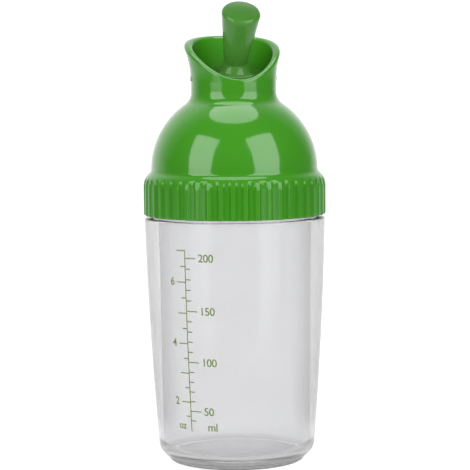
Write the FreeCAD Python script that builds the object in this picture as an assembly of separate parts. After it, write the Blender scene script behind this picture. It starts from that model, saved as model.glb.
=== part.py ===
"""Salad dressing shaker bottle: a clear cup, a screw cap with a pouring collar, and a lever with a ball plug.

Millimetres, +Z up, +X to the right and -Y to the front. The origin is the middle of the foot.
"""

import FreeCAD
import Part
import math
import os

# Bottle
neck_radius = 31.2
neck_wall = 2.0
neck_height = 10.6
neck_edge_round = 0.6
shoulder_height = 92.9
shoulder_width = 3.05
shoulder_round = 1.5
body_taper = 4.35
body_bulge = 0.62
base_corner_radius = 6.0
base_corner_height = 7.0
base_wall = 1.9
floor_height = 4.0
floor_corner_radius = 5.0
foot_inset = 4.1
foot_round = 0.5
foot_ring_width = 3.0
foot_recess_depth = 1.0

# Screw fit between the cap and the bottle
thread_depth = 0.8
thread_gap = 0.2
shoulder_gap = 1.0
gasket_thickness = 1.6
gasket_face_gap = 0.05
gasket_side_gap = 0.15
gasket_pocket_gap = 0.4

# Cap, grip ring
skirt_wall = 2.4
skirt_edge_chamfer = 0.6
skirt_lead_in = 0.5
grip_height = 11.6
grip_top_round = 1.4
grip_step = 2.95
grip_step_rise = 5.3
flute_count = 48
flute_radius = 1.5
flute_depth = 1.1

# Cap, dome and pouring collar
dome_center_offset = 1.45
dome_wall = 2.2
collar_radius = 16.15
collar_wall = 2.3
collar_blend_radius = 5.5
collar_flare_start = 3.8
collar_flare_radius = 35.0
throat_flare_radius = 55.0
collar_back_rise = 17.0
rim_front_rise = 4.81
rim_cut_setback = 26.0
rim_point_count = 36
rim_round_share = 0.38

# Valve
pivot_rise = 5.2
pin_radius = 1.05
pin_end_length = 0.5
pin_end_chamfer = 0.25
pin_press_gap = 0.02
pin_running_gap = 0.06
plug_gap = 0.35
plug_top_rise = 2.2
plug_top_slope_deg = 12.0
plug_depth = 9.0
plug_core_wall = 2.4
plug_core_roof = 1.5
seat_drop = 5.5
seat_height = 2.7
seat_ledge = 0.75
seat_face_gap = 0.3
retainer_height = 2.0
retainer_bore_gap = 0.1

# Lever
lever_lean_deg = 35.0
lever_length = 30.4
lever_root_sink = 3.5
lever_flare_deg = 25.0
lever_flare_radius = 14.0
lever_waist_rise = 8.4
lever_waist_radius = 4.5
lever_tip_radius = 7.2
lever_tip_round = 1.5
lever_tip_dome = 0.3
lever_foot_blend = 2.2

# Cutting tools run past the faces they cut by this much
overrun = 5.0
pick_tolerance = 0.001

full_turn_deg = 360.0
half_share = 0.5

ORIGIN = FreeCAD.Vector(0, 0, 0)
RIGHT = FreeCAD.Vector(1, 0, 0)
UP = FreeCAD.Vector(0, 0, 1)

# Places that follow from the sizes above
neck_bore = neck_radius - neck_wall
neck_top = shoulder_height + neck_height
body_top_radius = neck_radius + shoulder_width
body_base_radius = body_top_radius - body_taper
foot_radius = body_base_radius - foot_inset

skirt_bottom = shoulder_height + shoulder_gap
skirt_bore = neck_radius + thread_depth + thread_gap
grip_radius = skirt_bore + skirt_wall
grip_top = skirt_bottom + grip_height
gasket_bottom = neck_top + gasket_face_gap
gasket_top = gasket_bottom + gasket_thickness
gasket_ceiling = gasket_top + gasket_face_gap
gasket_pocket_radius = neck_radius + gasket_pocket_gap

dome_base = grip_top + grip_step_rise
dome_radius = grip_radius - grip_step - dome_center_offset
dome_inner_radius = dome_radius - dome_wall
blend_center_radius = collar_radius + collar_blend_radius
blend_reach = dome_radius + collar_blend_radius
blend_offset = blend_center_radius - dome_center_offset
blend_center_height = dome_base + math.sqrt(blend_reach**2 - blend_offset**2)
collar_bore = collar_radius - collar_wall
flare_height = blend_center_height + collar_flare_start

pivot_height = blend_center_height + pivot_rise
rim_top = pivot_height + collar_back_rise
rim_front = blend_center_height + rim_front_rise
rim_fall = rim_top - rim_front
rim_cut_reach = rim_cut_setback + collar_radius
rim_round = collar_wall * rim_round_share
rim_cut_radius = (rim_fall**2 + rim_cut_reach**2) * half_share / rim_fall
plug_radius = collar_bore - plug_gap
seat_top = pivot_height - seat_drop
seat_bottom = seat_top - seat_height
seat_face_radius = plug_radius + seat_face_gap
seat_pocket_radius = collar_bore + seat_ledge
pin_hole_radius = pin_radius + pin_press_gap
pin_half_length = collar_radius + pin_end_length


class Profile:
    """A closed outline drawn as points (radius, height), turned about the upright axis into a solid."""

    def __init__(self, radius, height):
        self.first = FreeCAD.Vector(radius, 0, height)
        self.last = self.first
        self.edges = []

    def line(self, radius, height):
        end = FreeCAD.Vector(radius, 0, height)
        self.edges.append(Part.LineSegment(self.last, end).toShape())
        self.last = end
        return self

    def arc(self, middle, end):
        """An arc from the last point through the middle to the end."""
        through = FreeCAD.Vector(middle[0], 0, middle[1])
        end = FreeCAD.Vector(end[0], 0, end[1])
        self.edges.append(Part.Arc(self.last, through, end).toShape())
        self.last = end
        return self

    def arc_about(self, center, end):
        """The short arc about the center from the last point to the end."""
        start_angle = math.atan2(self.last.z - center[1], self.last.x - center[0])
        end_angle = math.atan2(end[1] - center[1], end[0] - center[0])
        sweep = math.remainder(end_angle - start_angle, math.tau)
        middle_angle = start_angle + sweep * half_share
        reach = math.hypot(end[0] - center[0], end[1] - center[1])
        middle = (center[0] + reach * math.cos(middle_angle), center[1] + reach * math.sin(middle_angle))
        return self.arc(middle, end)

    def turned(self):
        if self.last != self.first:
            self.line(self.first.x, self.first.z)
        return Part.Face(Part.Wire(self.edges)).revolve(ORIGIN, UP, full_turn_deg)


def sphere_ring(radius, center_height, height):
    """The radius of a sphere on the axis, at a height."""
    return math.sqrt(radius**2 - (height - center_height) ** 2)


def bottle():
    """The clear cup with its foot ring, convex wall, shoulder and neck."""
    corner_center = (body_base_radius - base_corner_radius, base_corner_height)
    heel_offset = foot_radius - corner_center[0]
    foot_top = base_corner_height - math.sqrt(base_corner_radius**2 - heel_offset**2)
    wall_top = shoulder_height - shoulder_round
    wall_middle = (
        (body_base_radius + body_top_radius) * half_share + body_bulge,
        (base_corner_height + wall_top) * half_share,
    )
    floor_wall = body_base_radius - base_wall
    outline = Profile(0, foot_recess_depth)
    outline.line(foot_radius - foot_ring_width, foot_recess_depth)
    outline.line(foot_radius - foot_ring_width, 0)
    outline.line(foot_radius - foot_round, 0)
    outline.arc_about((foot_radius - foot_round, foot_round), (foot_radius, foot_round))
    outline.line(foot_radius, foot_top)
    outline.arc_about(corner_center, (body_base_radius, base_corner_height))
    outline.arc(wall_middle, (body_top_radius, wall_top))
    shoulder_edge = body_top_radius - shoulder_round
    outline.arc_about((shoulder_edge, wall_top), (shoulder_edge, shoulder_height))
    outline.line(neck_radius, shoulder_height)
    rim_low = neck_top - neck_edge_round
    rim_outer = neck_radius - neck_edge_round
    rim_inner = neck_bore + neck_edge_round
    outline.line(neck_radius, rim_low)
    outline.arc_about((rim_outer, rim_low), (rim_outer, neck_top))
    outline.line(rim_inner, neck_top)
    outline.arc_about((rim_inner, rim_low), (neck_bore, rim_low))
    outline.line(floor_wall, floor_height + floor_corner_radius)
    outline.arc_about(
        (floor_wall - floor_corner_radius, floor_height + floor_corner_radius),
        (floor_wall - floor_corner_radius, floor_height),
    )
    outline.line(0, floor_height)
    return outline.turned()


def cap_body():
    """The cap before its rim, flutes and pin holes: skirt, dome and flared collar in one wall."""
    dome_center = (dome_center_offset, dome_base)
    blend_center = (blend_center_radius, blend_center_height)
    meet_share = dome_radius / blend_reach
    dome_meets_blend = (
        dome_center_offset + blend_offset * meet_share,
        dome_base + (blend_center_height - dome_base) * meet_share,
    )
    round_center = (grip_radius - grip_top_round, grip_top)
    slope = math.atan2(grip_step_rise, grip_step)
    round_end = (
        round_center[0] + grip_top_round * math.sin(slope),
        round_center[1] + grip_top_round * math.cos(slope),
    )
    flare_rise = rim_top + overrun - flare_height
    flare_spread = collar_flare_radius - math.sqrt(collar_flare_radius**2 - flare_rise**2)
    throat_spread = throat_flare_radius - math.sqrt(throat_flare_radius**2 - flare_rise**2)
    pocket_offset = seat_pocket_radius - dome_center_offset
    dome_inner_end = dome_base + math.sqrt(dome_inner_radius**2 - pocket_offset**2)
    outline = Profile(grip_radius - skirt_edge_chamfer, skirt_bottom)
    outline.line(grip_radius, skirt_bottom + skirt_edge_chamfer)
    outline.line(grip_radius, grip_top)
    outline.arc_about(round_center, round_end)
    outline.line(dome_center_offset + dome_radius, dome_base)
    outline.arc_about(dome_center, dome_meets_blend)
    outline.arc_about(blend_center, (collar_radius, blend_center_height))
    outline.line(collar_radius, flare_height)
    outline.arc_about(
        (collar_radius + collar_flare_radius, flare_height),
        (collar_radius + flare_spread, rim_top + overrun),
    )
    outline.line(collar_bore + throat_spread, rim_top + overrun)
    outline.arc_about((collar_bore + throat_flare_radius, flare_height), (collar_bore, flare_height))
    outline.line(collar_bore, seat_top)
    outline.line(seat_pocket_radius, seat_top)
    outline.line(seat_pocket_radius, dome_inner_end)
    outline.arc_about(dome_center, (dome_center_offset + dome_inner_radius, dome_base))
    outline.line(neck_bore, gasket_ceiling)
    outline.line(gasket_pocket_radius, gasket_ceiling)
    outline.line(gasket_pocket_radius, neck_top)
    outline.line(skirt_bore, neck_top)
    outline.line(skirt_bore, skirt_bottom + skirt_lead_in)
    outline.line(skirt_bore + skirt_lead_in, skirt_bottom)
    return outline.turned()


def rim_curve(reach):
    """The rim's height at each angle, drawn as a closed curve at one reach from the axis."""
    points = []
    for number in range(rim_point_count):
        angle = math.tau * number / rim_point_count
        across = collar_radius * math.sin(angle) - rim_cut_setback
        height = rim_top - rim_cut_radius + math.sqrt(rim_cut_radius**2 - across**2)
        points.append(FreeCAD.Vector(reach * math.cos(angle), reach * math.sin(angle), height))
    curve = Part.BSplineCurve()
    curve.interpolate(points, PeriodicFlag=True)
    return curve.toShape()


def rim_cut(body):
    """The collar cut along its rim, low at the front and high at the back, level across its wall and rounded."""
    level = Part.makeRuledSurface(rim_curve(collar_bore * half_share), rim_curve(grip_radius))
    cut = body.cut(level.extrude(UP * (rim_fall + overrun + overrun)))
    rim_edges = []
    for edge in cut.Edges:
        middle = edge.valueAt((edge.FirstParameter + edge.LastParameter) * half_share)
        if edge.isClosed() and level.distToShape(Part.Vertex(middle))[0] < pick_tolerance:
            rim_edges.append(edge)
    return cut.makeFillet(rim_round, rim_edges)


def flutes():
    """The grooves of the grip ring, which run out in scallops on the slope above it."""
    reach = grip_radius + flute_radius - flute_depth
    bottom = skirt_bottom - overrun
    groove = Part.makeCylinder(flute_radius, dome_base - bottom, FreeCAD.Vector(reach, 0, bottom))
    grooves = []
    for number in range(flute_count):
        copy = groove.copy()
        copy.rotate(ORIGIN, UP, full_turn_deg * number / flute_count)
        grooves.append(copy)
    return grooves


def cross_pin(radius, half_length):
    """A pin along X through the pivot."""
    start = FreeCAD.Vector(-half_length, 0, pivot_height)
    return Part.makeCylinder(radius, half_length / half_share, start, RIGHT)


def cap_shell():
    """The green cap with its rim, pin holes and fluted grip."""
    cap = rim_cut(cap_body())
    cap = cap.cut(cross_pin(pin_hole_radius, pin_half_length + overrun))
    return cap.cut(flutes())


def cap_gasket():
    """The flat ring between the bottle's rim and the cap."""
    inner = neck_bore + gasket_side_gap
    outer = gasket_pocket_radius - gasket_side_gap
    ring = Profile(inner, gasket_bottom).line(outer, gasket_bottom)
    return ring.line(outer, gasket_top).line(inner, gasket_top).turned()


def pivot_pin():
    """The steel pin, its ends chamfered."""
    pin = cross_pin(pin_radius, pin_half_length)
    ends = []
    for edge in pin.Edges:
        if abs(abs(edge.CenterOfMass.x) - pin_half_length) < pick_tolerance:
            ends.append(edge)
    return pin.makeChamfer(pin_end_chamfer, ends)


def valve_seat():
    """The soft ring with a hollow face that follows the plug."""
    outer = seat_pocket_radius - pin_press_gap
    top_face = sphere_ring(seat_face_radius, pivot_height, seat_top)
    bottom_face = sphere_ring(seat_face_radius, pivot_height, seat_bottom)
    outline = Profile(outer, seat_bottom).line(outer, seat_top).line(top_face, seat_top)
    outline.arc_about((0, pivot_height), (bottom_face, seat_bottom))
    return outline.turned()


def seat_retainer():
    """The ring pressed in below the seat."""
    outer = seat_pocket_radius - pin_press_gap
    bore = sphere_ring(seat_face_radius, pivot_height, seat_bottom) + retainer_bore_gap
    low = seat_bottom - retainer_height
    ring = Profile(bore, low).line(outer, low)
    return ring.line(outer, seat_bottom).line(bore, seat_bottom).turned()


def lever_bar():
    """The round bar from its flared foot over a waist to its domed thumb end, leaning to the front."""
    flare = math.radians(lever_flare_deg)
    flare_low = lever_waist_rise - lever_flare_radius * math.sin(flare)
    flare_low_radius = lever_waist_radius + lever_flare_radius * (1 - math.cos(flare))
    root_radius = flare_low_radius + (flare_low + lever_root_sink) * math.tan(flare)
    bar = Profile(0, -lever_root_sink).line(root_radius, -lever_root_sink)
    bar.line(flare_low_radius, flare_low)
    bar.arc_about(
        (lever_waist_radius + lever_flare_radius, lever_waist_rise),
        (lever_waist_radius, lever_waist_rise),
    )
    bar.line(lever_tip_radius, lever_length - lever_tip_round)
    dome_edge = lever_tip_radius - lever_tip_round
    bar.arc_about((dome_edge, lever_length - lever_tip_round), (dome_edge, lever_length))
    dome_middle = dome_edge * half_share
    dome_reach = (dome_edge**2 + lever_tip_dome**2) * half_share / lever_tip_dome
    dome_rise = lever_tip_dome - dome_reach + math.sqrt(dome_reach**2 - dome_middle**2)
    bar.arc((dome_middle, lever_length + dome_rise), (0, lever_length + lever_tip_dome))
    solid = bar.turned()
    solid.rotate(ORIGIN, RIGHT, lever_lean_deg)
    solid.translate(UP * pivot_height)
    return solid


def pour_lever():
    """The lever and the ball plug at its foot, in one moulding, cored from below."""
    center = UP * pivot_height
    width = plug_radius + overrun
    side = width / half_share
    ball = Part.makeSphere(plug_radius, center)
    below = Part.makeBox(side, side, width, FreeCAD.Vector(-width, -width, -width - plug_depth))
    below.translate(center)
    above = Part.makeBox(side, side, width, FreeCAD.Vector(-width, -width, plug_top_rise))
    above.rotate(ORIGIN, RIGHT, plug_top_slope_deg)
    above.translate(center)
    slope = math.radians(plug_top_slope_deg)
    top_normal = FreeCAD.Vector(0, -math.sin(slope), math.cos(slope))
    plug = ball.cut(below).cut(above)
    moulding = plug.fuse(lever_bar()).removeSplitter()
    foot_edges = []
    for edge in moulding.Edges:
        middle = edge.valueAt((edge.FirstParameter + edge.LastParameter) * half_share) - center
        on_top = abs(middle.dot(top_normal) - plug_top_rise) < pick_tolerance
        if on_top and middle.Length < plug_radius - pick_tolerance:
            foot_edges.append(edge)
    moulding = moulding.makeFillet(lever_foot_blend, foot_edges)
    core_radius = sphere_ring(plug_radius, 0, plug_depth) - plug_core_wall
    core_top = -pin_radius - plug_core_roof
    core_base = center - UP * (plug_depth + overrun)
    core = Part.makeCylinder(core_radius, plug_depth + overrun + core_top, core_base)
    moulding = moulding.cut(core)
    return moulding.cut(cross_pin(pin_radius + pin_running_gap, width))


pieces = {
    "bottle": bottle,
    "cap_shell": cap_shell,
    "cap_gasket": cap_gasket,
    "pour_lever": pour_lever,
    "pivot_pin": pivot_pin,
    "valve_seat": valve_seat,
    "seat_retainer": seat_retainer,
}

os.makedirs("parts", exist_ok=True)
for node, make in pieces.items():
    make().exportStep("parts/" + node + ".step")
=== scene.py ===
"""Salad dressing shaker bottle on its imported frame: clear cup, printed scale, fluted cap, lever and seals."""

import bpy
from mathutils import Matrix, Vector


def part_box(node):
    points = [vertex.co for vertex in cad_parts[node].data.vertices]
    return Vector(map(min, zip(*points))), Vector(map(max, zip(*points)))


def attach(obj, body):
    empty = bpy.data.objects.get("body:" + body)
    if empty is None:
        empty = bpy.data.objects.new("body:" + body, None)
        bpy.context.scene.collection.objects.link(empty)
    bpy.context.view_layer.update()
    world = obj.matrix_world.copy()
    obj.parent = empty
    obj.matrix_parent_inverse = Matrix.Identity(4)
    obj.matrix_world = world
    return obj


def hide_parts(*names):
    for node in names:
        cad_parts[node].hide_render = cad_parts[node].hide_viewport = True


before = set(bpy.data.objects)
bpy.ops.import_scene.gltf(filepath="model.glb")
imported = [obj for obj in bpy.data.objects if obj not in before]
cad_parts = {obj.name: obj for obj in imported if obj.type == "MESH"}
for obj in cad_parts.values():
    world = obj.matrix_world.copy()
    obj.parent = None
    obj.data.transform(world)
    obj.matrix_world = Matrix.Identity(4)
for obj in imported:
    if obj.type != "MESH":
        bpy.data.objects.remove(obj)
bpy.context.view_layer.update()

import math

import bpy
import numpy as np
from bpy.props import FloatProperty, FloatVectorProperty, IntProperty, PointerProperty
from bpy.types import Operator, Panel, PropertyGroup
from mathutils import Matrix, Vector

bl_info = {
    "name": "Shaker Bottle",
    "version": (1, 0, 0),
    "blender": (4, 5, 0),
    "location": "View3D > Sidebar > Shaker",
    "description": "Builds a salad dressing shaker bottle on its packed frame",
    "category": "Add Mesh",
}

MM = 0.001
TAU = 2.0 * math.pi
WHITE = (1.0, 1.0, 1.0, 1.0)
SHARP_EDGE = math.radians(40.0)
PEEL_DEPTH = 0.05 * MM


# Properties


def length(millimetres, name, words):
    """A length property given in millimetres and kept in metres."""
    value = millimetres * MM
    return FloatProperty(name=name, description=words, default=value, unit="LENGTH", precision=5)


def angle(degrees, name, words):
    """An angle property given in degrees and kept in radians."""
    value = math.radians(degrees)
    return FloatProperty(name=name, description=words, default=value, unit="ROTATION", precision=4)


def power(watts, name, words):
    """The power of a light in watts."""
    return FloatProperty(name=name, description=words, default=watts, unit="POWER")


def colour(red, green, blue, name, words):
    """A colour property in linear light."""
    return FloatVectorProperty(
        name=name, description=words, default=(red, green, blue), subtype="COLOR", size=3, min=0.0, max=1.0
    )


class ShakerCupSizes(PropertyGroup):
    """Sizes of the clear cup"""

    neck_radius: length(31.2, "Neck radius", "Outer radius of the screw neck between its ridges")
    neck_wall: length(2.0, "Neck wall", "Wall of the neck")
    neck_height: length(10.6, "Neck height", "Height of the neck above the shoulder")
    edge_round: length(0.6, "Rim round", "Rounding of the neck's rim")
    shoulder_height: length(92.9, "Shoulder height", "Height of the flat shoulder above the table")
    shoulder_width: length(3.05, "Shoulder width", "How far the body stands out from the neck")
    shoulder_round: length(0.8, "Shoulder round", "Rounding of the shoulder's outer edge")
    body_taper: length(4.35, "Body taper", "How much narrower the body is at its base")
    body_bulge: length(0.62, "Body bulge", "How far the wall bows out at mid height")
    base_corner_radius: length(6.0, "Base corner", "Outer corner radius at the base")
    base_corner_height: length(7.0, "Base corner height", "Height where the wall meets the base corner")
    base_wall: length(1.9, "Base wall", "Wall at the top of the base corner")
    floor_height: length(4.0, "Floor height", "Height of the inner floor")
    floor_corner: length(5.0, "Floor corner", "Corner radius of the inner floor")
    foot_inset: length(4.1, "Foot inset", "How far the foot stands in from the body")
    foot_round: length(0.5, "Foot round", "Rounding of the foot's edge")
    foot_ring_width: length(3.0, "Foot ring width", "Width of the ring the bottle stands on")
    foot_recess: length(1.0, "Foot recess", "Depth of the hollow under the base")


class ShakerCapSizes(PropertyGroup):
    """Sizes of the cap"""

    skirt_bottom: length(93.9, "Skirt bottom", "Height of the cap's lower edge")
    skirt_bore: length(32.2, "Skirt bore", "Inner radius of the skirt between its ridges")
    grip_radius: length(34.6, "Grip radius", "Outer radius of the fluted ring")
    grip_top: length(104.7, "Grip top", "Height where the fluted ring starts to round in")
    crown_radius: length(6.66, "Crown radius", "Radius of the round above the flutes")
    crown_turn: angle(45.0, "Crown turn", "How far the round above the flutes turns towards the dome")
    dome_base: length(110.8, "Dome base", "Height where the dome starts")
    dome_offset: length(1.45, "Dome offset", "How far the dome's arc is centred off the axis")
    dome_radius: length(30.2, "Dome radius", "Radius of the dome's arc")
    dome_wall: length(2.2, "Dome wall", "Wall of the dome")
    collar_radius: length(16.15, "Collar radius", "Outer radius of the collar's neck")
    collar_bore: length(13.85, "Collar bore", "Inner radius of the collar's neck")
    blend_radius: length(5.5, "Collar blend", "Radius of the hollow blend from dome to collar")
    flare_start: length(3.8, "Flare start", "Straight height of the collar before it flares")
    flare_radius: length(35.0, "Flare radius", "Radius of the collar's flare")
    rim_top: length(162.436, "Rim top", "Height of the rim at its highest")
    rim_low: length(145.046, "Rim low", "Height of the rim at the pouring lip")
    rim_setback: length(26.0, "Rim setback", "How far behind the axis the rim is highest")
    throat_flare: length(55.0, "Throat flare", "Radius of the flare inside the collar")
    rim_front: length(0.8, "Rim round, front", "Outer rounding of the rim at the pouring lip")
    rim_back: length(2.2, "Rim round, back", "Outer rounding of the rim at the back")
    lip_front: length(0.9, "Lip round, front", "Inner rounding of the rim at the pouring lip")
    lip_back: length(1.8, "Lip round, back", "Inner rounding of the rim at the back")
    seat_top: length(139.936, "Seat ledge", "Height of the ledge above the valve seat")
    seat_pocket: length(14.6, "Seat pocket", "Radius of the pocket that holds the seat")
    gasket_ceiling: length(105.2, "Gasket ceiling", "Height of the face the gasket lies on")
    gasket_pocket: length(31.6, "Gasket pocket", "Radius of the gasket's pocket")
    flute_count: IntProperty(name="Flutes", description="Number of grooves round the grip", default=48, min=8)
    flute_radius: length(1.5, "Flute radius", "Radius of each groove")
    flute_depth: length(1.1, "Flute depth", "Depth of each groove")
    flute_soft: length(0.5, "Flute edge", "How softly the grooves' edges are rounded")
    thread_depth: length(0.8, "Thread depth", "Height of the screw ridges")
    thread_lead: length(6.0, "Thread lead", "Rise of the two-start thread in one turn")


class ShakerLeverSizes(PropertyGroup):
    """Sizes of the lever and its ball plug"""

    pivot_height: length(145.436, "Pivot height", "Height of the pin")
    plug_radius: length(13.5, "Plug radius", "Radius of the ball plug")
    plug_rise: length(2.2, "Plug top", "Height of the plug's top face above the pin")
    plug_slope: angle(12.0, "Plug slope", "Slope of the plug's top face to the front")
    plug_depth: length(9.0, "Plug depth", "Depth of the plug below the pin")
    core_radius: length(7.66, "Core radius", "Radius of the hollow under the plug")
    core_top: length(2.55, "Core top", "How far below the pin the hollow ends")
    lean: angle(35.0, "Lean", "How far the lever leans to the front")
    reach: length(30.4, "Length", "From the pin to the thumb end")
    waist_rise: length(8.4, "Waist rise", "From the pin to the lever's waist")
    waist_radius: length(4.5, "Waist radius", "Radius at the waist")
    tip_radius: length(7.2, "Tip radius", "Radius at the thumb end")
    tip_round: length(1.5, "Tip round", "Rounding of the thumb end's edge")
    tip_dome: length(0.8, "Tip dome", "How far the thumb end bows out")
    foot_spread: length(4.5, "Foot spread", "How far the lever's foot spreads over the plug")
    foot_low: length(2.6, "Foot pull, low", "How far out the foot's curve is pulled along the plug")
    foot_high: length(4.0, "Foot pull, high", "How far up the foot's curve is pulled along the bar")


class ShakerScaleSizes(PropertyGroup):
    """Sizes of the printed scale"""

    turn: angle(-43.4, "Turn", "Angle of the scale's line from the front, to the left if negative")
    low_mark: length(22.7, "Low mark", "Height of the 50 ml mark")
    high_mark: length(80.0, "High mark", "Height of the 200 ml mark")
    bow: length(-0.65, "Bow", "How far the marks stray from even steps halfway up")
    line_width: length(0.36, "Line width", "Width of the printed lines")
    long_tick: length(4.5, "Long tick", "Length of the numbered ticks")
    short_tick: length(2.1, "Short tick", "Length of the plain ticks")
    digit_height: length(2.9, "Digit height", "Height of the numbers")
    film: length(0.04, "Ink film", "Thickness of the ink")


class ShakerFinishes(PropertyGroup):
    """Colours of the finishes"""

    cap_green: colour(0.033, 0.2, 0.0065, "Cap green", "Colour of the cap")
    lever_green: colour(0.055, 0.195, 0.027, "Lever green", "Colour of the lever")
    clear_tint: colour(0.862, 0.862, 0.87, "Clear tint", "Tint of the clear cup")
    ink_green: colour(0.11, 0.16, 0.012, "Ink", "Colour of the printed scale")
    silicone: colour(0.72, 0.74, 0.72, "Silicone", "Colour of the seals")
    steel: colour(0.55, 0.56, 0.57, "Steel", "Colour of the pin")
    floor: colour(0.26, 0.26, 0.26, "Floor", "Colour of the floor and backdrop")


class ShakerStageSettings(PropertyGroup):
    """Place of the camera and power of the lights"""

    distance: length(718.6, "Distance", "Level distance from the bottle's axis to the camera")
    eye_height: length(153.7, "Eye height", "Height of the camera above the table")
    turn: angle(-10.4, "Turn", "Turn of the camera about the bottle, to the left if negative")
    tilt: angle(5.405, "Tilt", "How far the camera looks down")
    roll: angle(-0.55, "Roll", "How far the camera leans to the left")
    lens: FloatProperty(
        name="Lens", description="Focal length on a 36 mm sensor", default=144.9, min=1.0, unit="CAMERA"
    )
    side_light: power(7.8, "Side light", "Power of each front softbox, before its own share")
    fill_light: power(3.8, "Fill light", "Power of the dull front fill")
    top_light: power(5.2, "Top light", "Power of the overhead softbox")


# Shapes


def run(start, end, count):
    """Points on the straight line from start to end, evenly spaced, as rows of (radius, height)."""
    share = np.linspace(0.0, 1.0, count)[:, None]
    return np.asarray(start)[None, :] * (1.0 - share) + np.asarray(end)[None, :] * share


def arc(center, radius, start, end, count):
    """Points at center + radius (cos a, sin a), with a from start to end in degrees."""
    a = np.radians(np.linspace(start, end, count))
    return np.stack([center[0] + radius * np.cos(a), center[1] + radius * np.sin(a)], axis=1)


def corner(before, at, after, radius, count):
    """The arc of that radius that touches the lines before-at and at-after."""
    before, at, after = (np.asarray(p, float) for p in (before, at, after))
    back = (before - at) / np.linalg.norm(before - at)
    on = (after - at) / np.linalg.norm(after - at)
    half = math.acos(float(np.clip(back @ on, -1.0, 1.0))) / 2.0
    middle = (back + on) / np.linalg.norm(back + on)
    center = at + middle * radius / math.sin(half)
    first = at + back * radius / math.tan(half) - center
    last = at + on * radius / math.tan(half) - center
    start = math.atan2(first[1], first[0])
    sweep = math.remainder(math.atan2(last[1], last[0]) - start, TAU)
    a = start + sweep * np.linspace(0.0, 1.0, count)
    return center + radius * np.stack([np.cos(a), np.sin(a)], axis=1)


def round_corner(start, at, end, share):
    """A round corner from start to end about at, for each share s of the way.

    It is the curve ((1-s)^2 start + 2 w s (1-s) at + s^2 end) / (the sum of these weights), with w = cos 45.
    """
    weights = (1.0 - share) ** 2, 2.0 * math.sqrt(0.5) * share * (1.0 - share), share**2
    return (weights[0] * start + weights[1] * at + weights[2] * end) / sum(weights)


def chain(**parts):
    """Joins named runs of points into one profile, and gives the slice that each takes."""
    where, at = {}, 0
    for name, points in parts.items():
        where[name] = slice(at, at + len(points))
        at += len(points)
    return np.concatenate(list(parts.values())), where


def around(radius, height, angles):
    """Rings at (radius cos a, radius sin a, height): a row for each profile point and a column for each a."""
    rings = np.broadcast_arrays(radius * np.cos(angles), radius * np.sin(angles), height)
    return np.stack(rings, axis=2)


def shell(name, rings, looped):
    """A closed skin over rings of points: they join end to end if looped, and else close in two poles."""
    grid = rings if looped else rings[1:-1]
    points = grid.reshape(-1, 3)
    column = np.arange(grid.shape[1])
    beside = np.roll(column, -1)
    row = np.arange(len(grid))[:, None] * len(column)
    above = np.roll(row, -1, axis=0)
    quads = np.stack([row + column, row + beside, above + beside, above + column], axis=2)
    if looped:
        return make_object(name, points, quads.reshape(-1, 4).tolist())
    pole = np.full_like(column, len(points))
    first_fan = np.stack([pole, beside, column], axis=1)
    last_fan = np.stack([pole + 1, row[-1] + column, row[-1] + beside], axis=1)
    points = np.concatenate([points, rings[0, :1], rings[-1, :1]])
    faces = quads[:-1].reshape(-1, 4).tolist() + first_fan.tolist() + last_fan.tolist()
    return make_object(name, points, faces)


def make_object(name, points, faces, smooth=True):
    """An object at the origin with these points and faces."""
    mesh = bpy.data.meshes.new(name)
    mesh.from_pydata(np.asarray(points).tolist(), [], faces)
    mesh.polygons.foreach_set("use_smooth", np.full(len(mesh.polygons), smooth))
    mesh.validate()
    if smooth:
        mesh.set_sharp_from_angle(angle=SHARP_EDGE)
    made = bpy.data.objects.new(name, mesh)
    bpy.context.scene.collection.objects.link(made)
    return made


def dress(made, body, slot, material, *nodes):
    """Puts a finished piece on its body, gives it its finish and hides the nodes that it stands for."""
    made.data.materials.clear()
    made.data.materials.append(material)
    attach(made, body)
    if nodes:
        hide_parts(*nodes)


def ridge(height, angles, lead, phase, low, high, half_base, half_crest):
    """A two-start screw ridge, 0 to 1: a flat-topped wave in height - lead a / 2 pi, faded at its ends."""
    pitch = lead / 2.0
    rise = height - phase - lead * angles / TAU
    off = np.abs(np.remainder(rise + pitch / 2.0, pitch) - pitch / 2.0)
    wave = np.clip((half_base - off) / (half_base - half_crest), 0.0, 1.0)
    fade = np.clip((height - low) / half_base, 0.0, 1.0) * np.clip((high - height) / half_base, 0.0, 1.0)
    return wave * fade


def circle_through(a, b, c):
    """Center and radius of the circle through three points: the center lies on the bisectors of ab and bc."""
    a, b, c = np.asarray(a), np.asarray(b), np.asarray(c)
    center = np.linalg.solve(2.0 * np.stack([b - a, c - b]), [b @ b - a @ a, c @ c - b @ b])
    return center, np.linalg.norm(a - center)


def wall_radius(cup, height):
    """Outer radius of the cup's wall at a height: the circle through its base, bowed middle and top."""
    top = cup.neck_radius + cup.shoulder_width
    base = top - cup.body_taper
    low, high = cup.base_corner_height, cup.shoulder_height - cup.shoulder_round
    middle = (base + top) / 2.0 + cup.body_bulge, (low + high) / 2.0
    center, reach = circle_through((base, low), middle, (top, high))
    return center[0] + np.sqrt(reach**2 - (height - center[1]) ** 2)


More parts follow.
